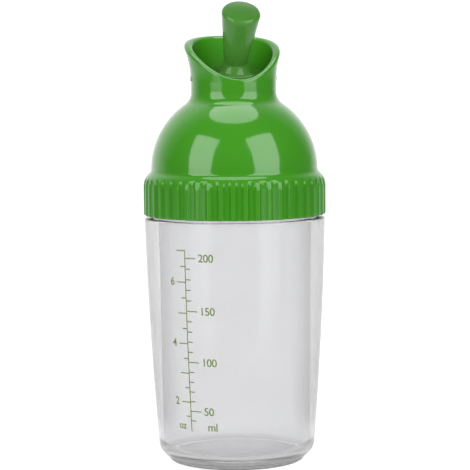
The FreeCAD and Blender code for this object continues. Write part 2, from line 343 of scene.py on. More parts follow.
def cup_rings(cup, cap, angles):
    """Rings of the cup, from the middle of its underside over wall, ridged neck and floor."""
    top = cup.neck_radius + cup.shoulder_width
    base = top - cup.body_taper
    foot = base - cup.foot_inset
    ring = foot - cup.foot_ring_width
    heel = base - cup.base_corner_radius
    foot_turn = -math.acos((foot - heel) / cup.base_corner_radius)
    foot_top = cup.base_corner_height + cup.base_corner_radius * math.sin(foot_turn)
    soft, inner_soft, recess = cup.foot_round, cup.foot_round * 0.8, cup.foot_recess
    wall_top = cup.shoulder_height - cup.shoulder_round
    wall_heights = np.linspace(cup.base_corner_height, wall_top, 60)
    edge = top - cup.shoulder_round
    neck, shoulder = cup.neck_radius, cup.shoulder_height
    bore = neck - cup.neck_wall
    neck_top = shoulder + cup.neck_height
    lip = cup.edge_round
    lip_low = neck_top - lip
    floor_wall = base - cup.base_wall
    floor, floor_round = cup.floor_height, cup.floor_corner
    floor_edge = floor_wall - floor_round
    profile, where = chain(
        underside=run((0.0, recess), (ring - soft, recess), 8),
        recess=corner((0.0, recess), (ring, recess), (ring, 0.0), inner_soft, 6),
        foot_inner=corner((ring, recess), (ring, 0.0), (foot, 0.0), inner_soft, 6),
        foot_outer=corner((ring, 0.0), (foot, 0.0), (foot, foot_top), soft, 6),
        heel=arc((heel, cup.base_corner_height), cup.base_corner_radius, math.degrees(foot_turn), 0.0, 20),
        wall=np.stack([wall_radius(cup, wall_heights), wall_heights], axis=1)[1:],
        shoulder_edge=arc((edge, wall_top), cup.shoulder_round, 0.0, 90.0, 10)[1:],
        shoulder=run((edge, shoulder), (neck, shoulder), 4)[1:],
        neck=run((neck, shoulder), (neck, lip_low), 64)[1:],
        rim_out=arc((neck - lip, lip_low), lip, 0.0, 90.0, 6)[1:],
        rim_in=arc((bore + lip, lip_low), lip, 90.0, 180.0, 6),
        inside=run((bore, lip_low), (floor_wall, floor + floor_round), 40)[1:],
        floor_edge=arc((floor_edge, floor + floor_round), floor_round, 0.0, -90.0, 12)[1:],
        floor=run((floor_edge, floor), (0.0, floor), 8)[1:],
    )
    radius = np.repeat(profile[:, :1], len(angles), axis=1)
    band = where["neck"]
    ends = shoulder + 1.6 * MM, neck_top - 1.3 * MM
    half_base, half_crest = 0.75 * MM, 0.3 * MM
    wave = ridge(profile[band, 1:], angles, cap.thread_lead, shoulder, *ends, half_base, half_crest)
    radius[band] += cap.thread_depth * wave
    return around(radius, profile[:, 1:], angles)


def flare(cap, inner, height):
    """Radius of the collar: straight, then growing by R - sqrt(R^2 - rise^2) above the start of its flare."""
    straight, curve = (cap.collar_bore, cap.throat_flare) if inner else (cap.collar_radius, cap.flare_radius)
    rise = np.maximum(height - blend_top(cap) - cap.flare_start, 0.0)
    return straight + curve - np.sqrt(curve**2 - rise**2)


def blend_top(cap):
    """Height where the hollow blend ends in the collar's straight neck."""
    reach = cap.dome_radius + cap.blend_radius
    off = cap.collar_radius + cap.blend_radius - cap.dome_offset
    return cap.dome_base + math.sqrt(reach**2 - off**2)


def rim_height(cap, angles):
    """Height of the rim, z = top - R + sqrt(R^2 - y^2), with y across a drum that is level at the back."""
    fall, reach = cap.rim_top - cap.rim_low, cap.rim_setback + cap.collar_radius
    drum = (fall**2 + reach**2) / (2.0 * fall)
    across = cap.collar_radius * np.sin(angles) - cap.rim_setback
    return cap.rim_top - drum + np.sqrt(drum**2 - across**2)


def flute_angles(cap):
    """Angles round the grip, closer together at the edges of each groove."""
    side = np.array([0.3, 0.57, 0.62, 0.65, 0.69, 0.8])
    share = np.concatenate([[-1.0], -side[::-1], side])
    step = TAU / cap.flute_count
    return (np.arange(cap.flute_count)[:, None] * step + share[None, :] * step / 2.0).ravel()


def cap_rings(cup, cap, angles):
    """Rings of the cap's whole wall, up the outside, over the slanted rim and down the inside.

    The grip and the crown above it are cut by round grooves, r = q cos d - sqrt(p^2 - q^2 sin^2 d), joined to
    them by a soft minimum, and the collar's rings are drawn out to the rim's height at each angle.
    """
    grip, low, base = cap.grip_radius, cap.skirt_bottom, cap.dome_base
    side = cap.dome_offset + cap.dome_radius
    dome_inner = cap.dome_radius - cap.dome_wall
    neck_top = cup.shoulder_height + cup.neck_height
    bore = cup.neck_radius - cup.neck_wall
    top_of_blend = blend_top(cap)
    blend_center = cap.collar_radius + cap.blend_radius, top_of_blend
    meet = math.degrees(math.asin((top_of_blend - base) / (cap.dome_radius + cap.blend_radius)))
    # Where the hollow aims on the dome, and the degrees of the dome that it takes up
    dome_rise, dome_skip = 1.0 * MM, 1.5
    start = math.asin(dome_rise / cap.dome_radius)
    dome_start = cap.dome_offset + cap.dome_radius * math.cos(start), base + dome_rise
    seat_meet = math.acos((cap.seat_pocket - cap.dome_offset) / dome_inner)
    pocket_end = base + dome_inner * math.sin(seat_meet)
    crown_center, crown_turn = (grip - cap.crown_radius, cap.grip_top), math.degrees(cap.crown_turn)
    crown = arc(crown_center, cap.crown_radius, 0.0, crown_turn, 24)
    dome_foot = side, crown[-1, 1] + (crown[-1, 0] - side) / math.tan(cap.crown_turn)
    edge_round, edge_height, hollow_round = 0.6 * MM, 1.0 * MM, 2.2 * MM
    thread_gap, lead_in = 0.1 * MM, 0.5 * MM
    share = np.linspace(0.0, 1.0, 12)
    ones = np.ones(len(share))
    profile, where = chain(
        edge=corner((bore, low), (grip, low), (grip, cap.grip_top), edge_round, 5),
        grip=run((grip, low + edge_height), (grip, cap.grip_top), 4),
        crown=crown[1:],
        hollow=corner(crown[-1], dome_foot, dome_start, hollow_round, 6),
        dome=arc((cap.dome_offset, base), cap.dome_radius, math.degrees(start) + dome_skip, meet, 24),
        blend=arc(blend_center, cap.blend_radius, 180.0 + meet, 180.0, 14)[1:],
        collar=np.stack([ones, share], axis=1)[1:],
        rim=np.zeros((14, 2)),
        throat=np.stack([ones, share[::-1]], axis=1)[:-1],
        bore=run((cap.collar_bore, top_of_blend), (cap.collar_bore, cap.seat_top), 2),
        ledge=run((cap.collar_bore, cap.seat_top), (cap.seat_pocket, cap.seat_top), 2)[1:],
        pocket=run((cap.seat_pocket, cap.seat_top), (cap.seat_pocket, pocket_end), 3)[1:],
        inside=arc((cap.dome_offset, base), dome_inner, math.degrees(seat_meet), 0.0, 14)[1:],
        ceiling=np.array([(bore, cap.gasket_ceiling), (cap.gasket_pocket, cap.gasket_ceiling)]),
        gasket=np.array([(cap.gasket_pocket, neck_top), (cap.skirt_bore, neck_top)]),
        thread=run((cap.skirt_bore, neck_top - thread_gap), (cap.skirt_bore, low + lead_in), 21),
        lead_in=np.array([(cap.skirt_bore + lead_in, low)]),
    )
    radius = np.repeat(profile[:, :1], len(angles), axis=1)
    height = np.repeat(profile[:, 1:], len(angles), axis=1)

    # Grooves of the grip and crown
    grooved = slice(where["edge"].start, where["crown"].stop)
    step = TAU / cap.flute_count
    aside = np.remainder(angles + step / 2.0, step) - step / 2.0
    middle = grip + cap.flute_radius - cap.flute_depth
    under_root = cap.flute_radius**2 - (middle * np.sin(aside)) ** 2
    groove = middle * np.cos(aside) - np.sqrt(np.maximum(under_root, 0.0))
    groove = np.where(under_root > 0.0, groove, middle)
    mix = np.clip(0.5 + 0.5 * (groove - radius[grooved]) / cap.flute_soft, 0.0, 1.0)
    radius[grooved] = groove + (radius[grooved] - groove) * mix - cap.flute_soft * mix * (1.0 - mix)

    # Collar and throat, drawn out to the slanted rim
    collar, throat = where["collar"], where["throat"]
    turned = np.abs(np.remainder(angles - math.pi / 2.0, TAU) - math.pi) / math.pi
    soft = cap.rim_front + (cap.rim_back - cap.rim_front) * turned
    lip = cap.lip_front + (cap.lip_back - cap.lip_front) * turned
    edge = rim_height(cap, angles)
    height[collar] = top_of_blend + (edge - soft - top_of_blend) * profile[collar, 1:]
    radius[collar] = flare(cap, False, height[collar])
    height[throat] = top_of_blend + (edge - lip - top_of_blend) * profile[throat, 1:]
    radius[throat] = flare(cap, True, height[throat])

    # Rim, rounded on both sides
    out_edge = np.stack([flare(cap, False, edge), edge])
    in_edge = np.stack([flare(cap, True, edge), edge])
    inward = np.array([[-1.0], [0.0]])
    out_low = np.stack([radius[collar][-1], height[collar][-1]])
    in_low = np.stack([radius[throat][0], height[throat][0]])
    share = np.linspace(0.0, 1.0, 8)[1:, None, None]
    outer = round_corner(out_low, out_edge, out_edge + inward * soft, share)
    inner = round_corner(in_low, in_edge, in_edge - inward * lip, share)[::-1]
    rim = np.concatenate([outer, inner])
    radius[where["rim"]], height[where["rim"]] = rim[:, 0], rim[:, 1]

    # Thread in the skirt
    band = where["thread"]
    phase = cup.shoulder_height + cap.thread_lead / 4.0
    ends = low + 1.4 * MM, neck_top - 0.6 * MM
    half_base, half_crest = 0.55 * MM, 0.2 * MM
    wave = ridge(height[band], angles, cap.thread_lead, phase, *ends, half_base, half_crest)
    radius[band] -= cap.thread_depth * wave
    return around(radius, height, angles)


def lever_rings(lever, angles):
    """Rings of the ball plug and lever: core, ball, sloped top, foot, tapered bar and domed thumb end.

    The ball runs along great circles from its level bottom edge to its sloped top edge. The foot is a cubic
    curve from the top face to each straight line of the bar at its waist.
    """
    cos, sin = np.cos(angles)[:, None], np.sin(angles)[:, None]
    right, up = np.array([1.0, 0.0, 0.0]), np.array([0.0, 0.0, 1.0])
    slope_back = np.array([0.0, math.cos(lever.plug_slope), math.sin(lever.plug_slope)])
    normal = np.array([0.0, -math.sin(lever.plug_slope), math.cos(lever.plug_slope)])
    axis = np.array([0.0, -math.sin(lever.lean), math.cos(lever.lean)])
    back = np.array([0.0, math.cos(lever.lean), math.sin(lever.lean)])
    level = cos * right + sin * np.array([0.0, 1.0, 0.0])
    spoke = cos * right + sin * back
    edge_soft = 0.35 * MM

    # Hollow core
    bottom_radius = math.sqrt(lever.plug_radius**2 - lever.plug_depth**2)
    core_ring = level * lever.core_radius
    core_low, core_high = -lever.plug_depth * up, -lever.core_top * up
    rings = [core_ring * share + core_high for share in (0.0, 0.96)]
    rings += [core_ring + core_high - up * edge_soft, core_ring + core_low + up * edge_soft]
    rings += [core_ring + level * edge_soft + core_low, level * (bottom_radius - edge_soft) + core_low]

    # Ball
    top_radius = math.sqrt(lever.plug_radius**2 - lever.plug_rise**2)
    top_ring = (cos * right + sin * slope_back) * top_radius + normal * lever.plug_rise
    low_ring = level * bottom_radius + core_low
    cos_span = np.sum(top_ring * low_ring, axis=1) / lever.plug_radius**2
    span = np.arccos(np.clip(cos_span, -1.0, 1.0))[:, None]
    rings += [
        (low_ring * np.sin((1.0 - s) * span) + top_ring * np.sin(s * span)) / np.sin(span)
        for s in np.linspace(0.02, 0.97, 26)
    ]

    # Sloped top and foot
    bar_end = lever.reach - lever.tip_round
    taper = (lever.tip_radius - lever.waist_radius) / (bar_end - lever.waist_rise)
    line = axis + taper * spoke
    waist = lever.waist_rise * axis + lever.waist_radius * spoke
    foot = waist - ((waist @ normal - lever.plug_rise) / (line @ normal))[:, None] * line
    outward = spoke - (spoke @ normal)[:, None] * normal
    outward = outward / np.linalg.norm(outward, axis=1)[:, None]
    foot_edge = foot + outward * lever.foot_spread
    pull_low, pull_high = foot + outward * lever.foot_low, foot + line * lever.foot_high
    top_inset = 0.5 * MM
    inner_edge = top_ring - (top_ring - normal * lever.plug_rise) * (top_inset / top_radius)
    rings += [inner_edge + (foot_edge - inner_edge) * s for s in (0.0, 0.03, 0.3, 0.6, 0.85)]
    rings += [
        (foot_edge * (1.0 - s) + pull_low * 3.0 * s) * (1.0 - s) ** 2
        + (pull_high * 3.0 * (1.0 - s) + waist * s) * s**2
        for s in np.linspace(0.0, 1.0, 24)
    ]

    # Bar and thumb end
    rings += [waist + line * (bar_end - lever.waist_rise) * s for s in np.linspace(0.0, 1.0, 30)[1:]]
    flat = lever.tip_radius - lever.tip_round
    edge_turn, dome_edge = math.pi / 2.0 - 0.12, 0.94
    rings += [
        (bar_end + lever.tip_round * math.sin(a)) * axis + (flat + lever.tip_round * math.cos(a)) * spoke
        for a in np.linspace(0.0, edge_turn, 10)[1:]
    ]
    bow = (flat**2 + lever.tip_dome**2) / (2.0 * lever.tip_dome)
    dome_center = lever.reach + lever.tip_dome - bow
    rings += [
        (dome_center + math.sqrt(bow**2 - (flat * s) ** 2)) * axis + flat * s * spoke
        for s in np.linspace(dome_edge, 0.0, 10)
    ]
    return np.stack(rings) + up * lever.pivot_height


def pin_rings(radius, half_length, angles):
    """Rings of a pin along X with softly rounded ends."""
    end_round = 0.3 * MM
    ends = corner((0.0, half_length), (radius, half_length), (radius, 0.0), end_round, 5)
    side = np.concatenate([[(0.0, half_length)], ends])
    profile = np.concatenate([side * (1.0, -1.0), side[::-1]])
    return around(profile[:, :1], profile[:, 1:], angles)[:, :, [2, 0, 1]]


def tick_patches(boxes, columns):
    """Flat patches, one for each row (left, right, low, high), as a grid of points and faces."""
    share = np.linspace(0.0, 1.0, columns)
    across = boxes[:, 0, None] + (boxes[:, 1] - boxes[:, 0])[:, None] * share
    low = np.stack([across, np.broadcast_to(boxes[:, 2, None], across.shape)], axis=2)
    high = np.stack([across, np.broadcast_to(boxes[:, 3, None], across.shape)], axis=2)
    points = np.concatenate([low, high], axis=1).reshape(-1, 2)
    first = (np.arange(len(boxes)) * columns * 2)[:, None] + np.arange(columns - 1)[None, :]
    faces = np.stack([first, first + 1, first + 1 + columns, first + columns], axis=2).reshape(-1, 4)
    return points, faces.tolist()


def upright_patch(left, right, low, high, rows):
    """One tall flat patch in rows, as points and faces."""
    heights = np.linspace(low, high, rows)
    points = np.concatenate([np.stack([np.full(rows, side), heights], axis=1) for side in (left, right)])
    first = np.arange(rows - 1)
    faces = np.stack([first, first + rows, first + rows + 1, first + 1], axis=1)
    return points, faces.tolist()


def label_patch(words, size, left, middle, align):
    """Letters as flat faces, set beside a tick: points and faces read from Blender's own font."""
    # Height of a digit as a share of the font's size, and how far the strokes are thickened
    digit_share, weight = 0.7, 0.012
    curve = bpy.data.curves.new("label", "FONT")
    curve.body = words
    curve.size = size / digit_share
    curve.align_x = align
    curve.align_y = "CENTER"
    curve.space_character = 0.95
    curve.offset = weight * size
    holder = bpy.data.objects.new("label", curve)
    bpy.context.scene.collection.objects.link(holder)
    bpy.context.view_layer.update()
    evaluated = holder.evaluated_get(bpy.context.evaluated_depsgraph_get())
    mesh = bpy.data.meshes.new_from_object(evaluated)
    flat = np.zeros(len(mesh.vertices) * 3)
    mesh.vertices.foreach_get("co", flat)
    points = flat.reshape(-1, 3)[:, :2] + (left, middle)
    faces = [list(face.vertices) for face in mesh.polygons]
    bpy.data.objects.remove(holder)
    bpy.data.curves.remove(curve)
    bpy.data.meshes.remove(mesh)
    return points, faces


def wrap_on_cup(cup, flat, turn, lift):
    """Bends flat points, (distance, height), onto the cup's wall, at an angle of distance / radius."""
    radius = wall_radius(cup, flat[:, 1]) + lift
    a = turn + flat[:, 0] / radius - math.pi / 2.0
    return np.stack([radius * np.cos(a), radius * np.sin(a), flat[:, 1]], axis=1)


# Finishes


def new_group(name, inputs, outputs):
    """An empty shader node group with named sockets, and its input and output nodes."""
    group = bpy.data.node_groups.new(name, "ShaderNodeTree")
    for direction, sockets in (("INPUT", inputs), ("OUTPUT", outputs)):
        for label, kind in sockets:
            group.interface.new_socket(label, in_out=direction, socket_type="NodeSocket" + kind)
    return group, group.nodes.new("NodeGroupInput"), group.nodes.new("NodeGroupOutput")


def link(tree, value, socket):
    """Feeds an input from another node's output, or sets it to a plain number, vector or colour."""
    if isinstance(value, (int, float, tuple)):
        socket.default_value = value
    else:
        tree.links.new(value, socket)


def object_place(tree):
    """The place on the piece, in its own coordinates."""
    return tree.nodes.new("ShaderNodeTexCoord").outputs["Object"]


def axes(tree, vector):
    """The X, Y and Z of a vector."""
    split = tree.nodes.new("ShaderNodeSeparateXYZ")
    link(tree, vector, split.inputs["Vector"])
    return split.outputs["X"], split.outputs["Y"], split.outputs["Z"]


def math_node(tree, operation, first, second=0.0):
    """A Math node whose inputs are sockets or plain numbers."""
    node = tree.nodes.new("ShaderNodeMath")
    node.operation = operation
    link(tree, first, node.inputs[0])
    link(tree, second, node.inputs[1])
    return node.outputs["Value"]


def times(tree, first, second):
    """The product of two sockets or plain numbers."""
    return math_node(tree, "MULTIPLY", first, second)


def vector_node(tree, operation, *values):
    """A Vector Math node whose inputs are sockets or plain vectors."""
    node = tree.nodes.new("ShaderNodeVectorMath")
    node.operation = operation
    for socket, value in zip(node.inputs, values):
        link(tree, value, socket)
    return node


def ramp(tree, value, start, end, low, high):
    """A Map Range node: low up to start, high from end on, and a straight slope between them."""
    node = tree.nodes.new("ShaderNodeMapRange")
    names = "Value", "From Min", "From Max", "To Min", "To Max"
    for name, given in zip(names, (value, start, end, low, high)):
        link(tree, given, node.inputs[name])
    return node.outputs["Result"]


def noise_node(tree, vector, scale, detail, stretch=None):
    """A Noise texture on a vector, stretched by a Mapping node where one is asked for."""
    noise = tree.nodes.new("ShaderNodeTexNoise")
    link(tree, scale, noise.inputs["Scale"])
    link(tree, detail, noise.inputs["Detail"])
    if stretch:
        mapping = tree.nodes.new("ShaderNodeMapping")
        link(tree, stretch, mapping.inputs["Scale"])
        link(tree, vector, mapping.inputs["Vector"])
        vector = mapping.outputs["Vector"]
    link(tree, vector, noise.inputs["Vector"])
    return noise.outputs["Fac"]


def moulded_group():
    """Moulded skin: slow colour and gloss change from the melt, and the orange peel of a polished mould."""
    inputs = [("Color", "Color")]
    inputs += [(label, "Float") for label in ("Variation", "Roughness", "Marks", "Peel scale")]
    outputs = [("Color", "Color"), ("Roughness", "Float"), ("Height", "Float")]
    group, given, put = new_group("Moulded skin", inputs, outputs)
    place = object_place(group)
    slow = noise_node(group, place, scale=45.0, detail=3.0)
    peel = noise_node(group, place, scale=given.outputs["Peel scale"], detail=2.0)
    tone = group.nodes.new("ShaderNodeHueSaturation")
    swing = times(group, math_node(group, "SUBTRACT", slow, 0.5), given.outputs["Variation"])
    link(group, math_node(group, "ADD", swing, 1.0), tone.inputs["Value"])
    link(group, given.outputs["Color"], tone.inputs["Color"])
    link(group, tone.outputs["Color"], put.inputs["Color"])
    haze = times(group, math_node(group, "SUBTRACT", slow, 0.4), 0.05)
    marked = times(group, given.outputs["Marks"], 0.16)
    hazed = math_node(group, "ADD", given.outputs["Roughness"], haze)
    link(group, math_node(group, "ADD", hazed, marked), put.inputs["Roughness"])
    link(group, peel, put.inputs["Height"])
    return group


def marks_group():
    """Handling marks: faint upright hairlines in patches and a little dust, as one mask."""
    inputs = [("Amount", "Float"), ("Dust", "Float")]
    group, given, put = new_group("Handling marks", inputs, [("Mask", "Float")])
    place = object_place(group)
    hair = noise_node(group, place, scale=1.0, detail=2.0, stretch=(2400.0, 2400.0, 70.0))
    patch = noise_node(group, place, scale=90.0, detail=2.0)
    dust = noise_node(group, place, scale=2600.0, detail=1.0)
    thin = times(group, math_node(group, "GREATER_THAN", hair, 0.66), patch)
    specks = times(group, math_node(group, "GREATER_THAN", dust, 0.76), given.outputs["Dust"])
    both = math_node(group, "ADD", times(group, thin, given.outputs["Amount"]), specks)
    link(group, math_node(group, "MINIMUM", both, 1.0), put.inputs["Mask"])
    return group


def finish_of(name, tint, roughness, variation, marks, dust, peel, fineness, **sockets):
    """A Principled material whose colour, gloss and relief come from the moulded skin and its marks."""
    material = bpy.data.materials.new(name)
    material.use_nodes = True
    tree = material.node_tree
    shader = tree.nodes["Principled BSDF"]
    skin, wear = tree.nodes.new("ShaderNodeGroup"), tree.nodes.new("ShaderNodeGroup")
    skin.node_tree = bpy.data.node_groups.get("Moulded skin") or moulded_group()
    wear.node_tree = bpy.data.node_groups.get("Handling marks") or marks_group()
    wear.name = "Handling marks"
    bump = tree.nodes.new("ShaderNodeBump")
    for value, socket in (
        ((*tint, 1.0), skin.inputs["Color"]),
        (variation, skin.inputs["Variation"]),
        (roughness, skin.inputs["Roughness"]),
        (fineness, skin.inputs["Peel scale"]),
        (marks, wear.inputs["Amount"]),
        (dust, wear.inputs["Dust"]),
        (peel, bump.inputs["Strength"]),
        (PEEL_DEPTH, bump.inputs["Distance"]),
        (wear.outputs["Mask"], skin.inputs["Marks"]),
        (skin.outputs["Color"], shader.inputs["Base Color"]),
        (skin.outputs["Roughness"], shader.inputs["Roughness"]),
        (skin.outputs["Height"], bump.inputs["Height"]),
        (bump.outputs["Normal"], shader.inputs["Normal"]),
    ):
        link(tree, value, socket)
    for socket, value in sockets.items():
        shader.inputs[socket.replace("_", " ")].default_value = value
    return material


def core_mask(tree):
    """1 on the inner faces of a turned moulding, where the normal points at the axis, and 0 outside."""
    place = tree.nodes.new("ShaderNodeTexCoord")
    level = vector_node(tree, "MULTIPLY", place.outputs["Object"], (1.0, 1.0, 0.0))
    facing = vector_node(tree, "DOT_PRODUCT", level.outputs["Vector"], place.outputs["Normal"])
    return ramp(tree, facing.outputs["Value"], -14.2 * MM, -12.0 * MM, 1.0, 0.0)


def cap_finish(finishes):
    """Green plastic with a polished skin, which handling dulls, most at the grip, and satin on the inside."""
    material = finish_of(
        "glossy green plastic",
        finishes.cap_green,
        roughness=0.4,
        variation=0.1,
        marks=0.5,
        dust=0.3,
        peel=0.12,
        fineness=900.0,
        Specular_IOR_Level=0.05,
        Coat_Roughness=0.1,
        Coat_IOR=1.52,
    )
    tree = material.node_tree
    rise = axes(tree, object_place(tree))[2]
    outside = math_node(tree, "SUBTRACT", 1.0, core_mask(tree))
    scuffed = times(tree, tree.nodes["Handling marks"].outputs["Mask"], 0.4)
    kept = times(tree, outside, math_node(tree, "SUBTRACT", 1.0, scuffed))
    handled = ramp(tree, rise, 106.0 * MM, 112.0 * MM, 0.62, 1.0)
    link(tree, times(tree, kept, handled), tree.nodes["Principled BSDF"].inputs["Coat Weight"])
    return material


# Operators


class SHAKER_OT_cup(Operator):
    """Builds the clear cup with its foot, wall, threaded neck and inside"""

    bl_idname = "shaker.cup"
    bl_label = "Clear cup"

    def execute(self, context):
        scene = context.scene
        angles = np.linspace(0.0, TAU, 256, endpoint=False)
        made = shell("clear_cup", cup_rings(scene.shaker_cup, scene.shaker_cap, angles), False)
        clear = finish_of(
            "clear plastic",
            scene.shaker_finishes.clear_tint,
            roughness=0.02,
            variation=0.02,
            marks=0.2,
            dust=0.1,
            peel=0.05,
            fineness=60.0,
            IOR=1.33,
            Transmission_Weight=0.9,
        )
        self.deepen_edges(clear.node_tree)
        dress(made, "bottle", "clear_plastic", clear, "bottle")
        return {"FINISHED"}

    def deepen_edges(self, tree):
        """Paints shade into the colour: greys the wall where it is seen edge-on, most towards the base, and
        darkens the foot; also hazes the base a little.
        """
        shader = tree.nodes["Principled BSDF"]
        tinted, gloss = (shader.inputs[name].links[0].from_socket for name in ("Base Color", "Roughness"))
        # Painted shade: the tint is greyed where the wall is seen edge-on, deepest low down
        facing = tree.nodes.new("ShaderNodeLayerWeight").outputs["Facing"]
        rise = axes(tree, object_place(tree))[2]
        deepest_painted_shade = ramp(tree, rise, 8.0 * MM, 18.0 * MM, 1.0, 0.4)
        edge = ramp(tree, facing, 0.3, 0.9, 1.0, deepest_painted_shade)
        # Painted shade: the tint is darkened at the foot
        foot = ramp(tree, rise, 2.0 * MM, 4.4 * MM, 0.6, 1.0)
        haze = ramp(tree, rise, 6.0 * MM, 10.0 * MM, 0.13, 0.0)
        painted_shade_tint = vector_node(tree, "SCALE", tinted)
        link(tree, times(tree, edge, foot), painted_shade_tint.inputs["Scale"])
        link(tree, painted_shade_tint.outputs["Vector"], shader.inputs["Base Color"])
        link(tree, math_node(tree, "ADD", gloss, haze), shader.inputs["Roughness"])


class SHAKER_OT_scale(Operator):
    """Prints the volume scale on the cup: millilitres right of its line and fluid ounces left of it"""

    bl_idname = "shaker.scale"
    bl_label = "Printed scale"

    def execute(self, context):
        scene = context.scene
        sizes, cup = scene.shaker_scale, scene.shaker_cup
        ounce, low_volume, high_volume = 29.5735, 50.0, 200.0
        half = sizes.line_width / 2.0

        def mark(volume):
            """Height of a volume's mark: even steps between the outer marks, strayed by 4 bow s (1 - s)."""
            share = (volume - low_volume) / (high_volume - low_volume)
            even = sizes.low_mark + (sizes.high_mark - sizes.low_mark) * share
            return even + 4.0 * sizes.bow * share * (1.0 - share)

        ml = np.arange(40.0, 201.0, 10.0)
        ml_length = np.where(np.remainder(ml, 50.0) == 0.0, sizes.long_tick, sizes.short_tick)
        oz = np.arange(1.5, 7.01, 0.5)
        oz_length = np.where(np.remainder(oz, 1.0) == 0.0, sizes.long_tick * 0.85, sizes.short_tick)
        ml_mark, oz_mark = mark(ml), mark(oz * ounce)
        overlap = half * 0.5
        right = np.stack([np.full_like(ml, overlap), ml_length, ml_mark - half, ml_mark + half], axis=1)
        left = np.stack([-oz_length, np.full_like(oz, -overlap), oz_mark - half, oz_mark + half], axis=1)
        patches = [tick_patches(np.concatenate([right, left]), 5)]
        patches.append(upright_patch(-half, half, mark(29.0), mark(7.0 * ounce) + half, 60))
        size, gap = sizes.digit_height, 2.2 * MM
        ml_start, oz_end = sizes.long_tick + gap * 0.45, -sizes.long_tick - gap * 0.3
        for volume in (50, 100, 150, 200):
            patches.append(label_patch(str(volume), size, ml_start, mark(volume), "LEFT"))
        for volume in (2, 4, 6):
            patches.append(label_patch(str(volume), size, oz_end, mark(volume * ounce), "RIGHT"))
        unit_mark = mark(34.0)
        patches.append(label_patch("ml", size, sizes.long_tick + gap, unit_mark, "LEFT"))
        patches.append(label_patch("oz", size * 0.9, -gap * 1.1, unit_mark, "RIGHT"))
        starts = np.cumsum([0] + [len(points) for points, _ in patches])
        faces = [np.add(face, start).tolist() for (_, some), start in zip(patches, starts) for face in some]
        flat = np.concatenate([points for points, _ in patches])
        lift = 0.015 * MM
        made = make_object("printed_scale", wrap_on_cup(cup, flat, sizes.turn, lift), faces, False)
        film = made.modifiers.new("ink film", "SOLIDIFY")
        film.thickness = sizes.film
        film.offset = 1.0
        ink = finish_of(
            "printing ink",
            scene.shaker_finishes.ink_green,
            roughness=0.4,
            variation=0.2,
            marks=0.6,
            dust=0.4,
            peel=0.3,
            fineness=2000.0,
            IOR=1.48,
        )
        dress(made, "bottle", "clear_plastic", ink)
        return {"FINISHED"}


class SHAKER_OT_cap(Operator):
    """Builds the cap with its fluted grip, dome, pouring collar and inner thread"""

    bl_idname = "shaker.cap"
    bl_label = "Cap"

    def execute(self, context):
        scene = context.scene
        angles = flute_angles(scene.shaker_cap)
        made = shell("green_cap", cap_rings(scene.shaker_cup, scene.shaker_cap, angles), True)
        dress(made, "cap", "green_plastic", cap_finish(scene.shaker_finishes), "cap_shell")
        return {"FINISHED"}


class SHAKER_OT_lever(Operator):
    """Builds the lever and the ball plug at its foot"""

    bl_idname = "shaker.lever"
    bl_label = "Lever"

    def execute(self, context):
        scene = context.scene
        angles = np.linspace(0.0, TAU, 160, endpoint=False)
        made = shell("thumb_lever", lever_rings(scene.shaker_lever, angles), False)
        made.visible_glossy = False
        satin = finish_of(
            "satin green plastic",
            scene.shaker_finishes.lever_green,
            roughness=0.11,
            variation=0.12,
            marks=0.6,
            dust=0.4,
            peel=0.12,
            fineness=900.0,
            IOR=1.36,
        )
        dress(made, "lever", "lever_plastic", satin, "pour_lever")
        return {"FINISHED"}


class SHAKER_OT_pin(Operator):
    """Builds the steel pin across the collar"""

    bl_idname = "shaker.pin"
    bl_label = "Pivot pin"

    def execute(self, context):
        scene = context.scene
        low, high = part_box("pivot_pin")
        angles = np.linspace(0.0, TAU, 48, endpoint=False)
        rings = pin_rings((high.z - low.z) / 2.0, (high.x - low.x) / 2.0, angles)
        rings[:, :, 2] += (low.z + high.z) / 2.0
        made = shell("steel_pin", rings, False)
        drawn = finish_of(
            "drawn steel",
            scene.shaker_finishes.steel,
            roughness=0.28,
            variation=0.15,
            marks=0.8,
            dust=0.2,
            peel=0.2,
            fineness=3000.0,
            Metallic=1.0,
        )
        dress(made, "cap", "steel", drawn, "pivot_pin")
        return {"FINISHED"}


class SHAKER_OT_seals(Operator):
    """Gives the gasket, the valve seat and its retainer their finishes"""

    bl_idname = "shaker.seals"
    bl_label = "Seals"

    def execute(self, context):
        finishes = context.scene.shaker_finishes
        soft = finish_of(
            "soft silicone",
            finishes.silicone,
            roughness=0.45,
            variation=0.1,
            marks=0.3,
            dust=0.6,
            peel=0.3,
            fineness=1500.0,
            IOR=1.41,
        )
        green = bpy.data.materials.get("glossy green plastic") or cap_finish(finishes)
        for node, material in (("cap_gasket", soft), ("valve_seat", soft), ("seat_retainer", green)):
            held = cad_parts[node]
            held.data.materials.clear()
            held.data.materials.append(material)
        return {"FINISHED"}


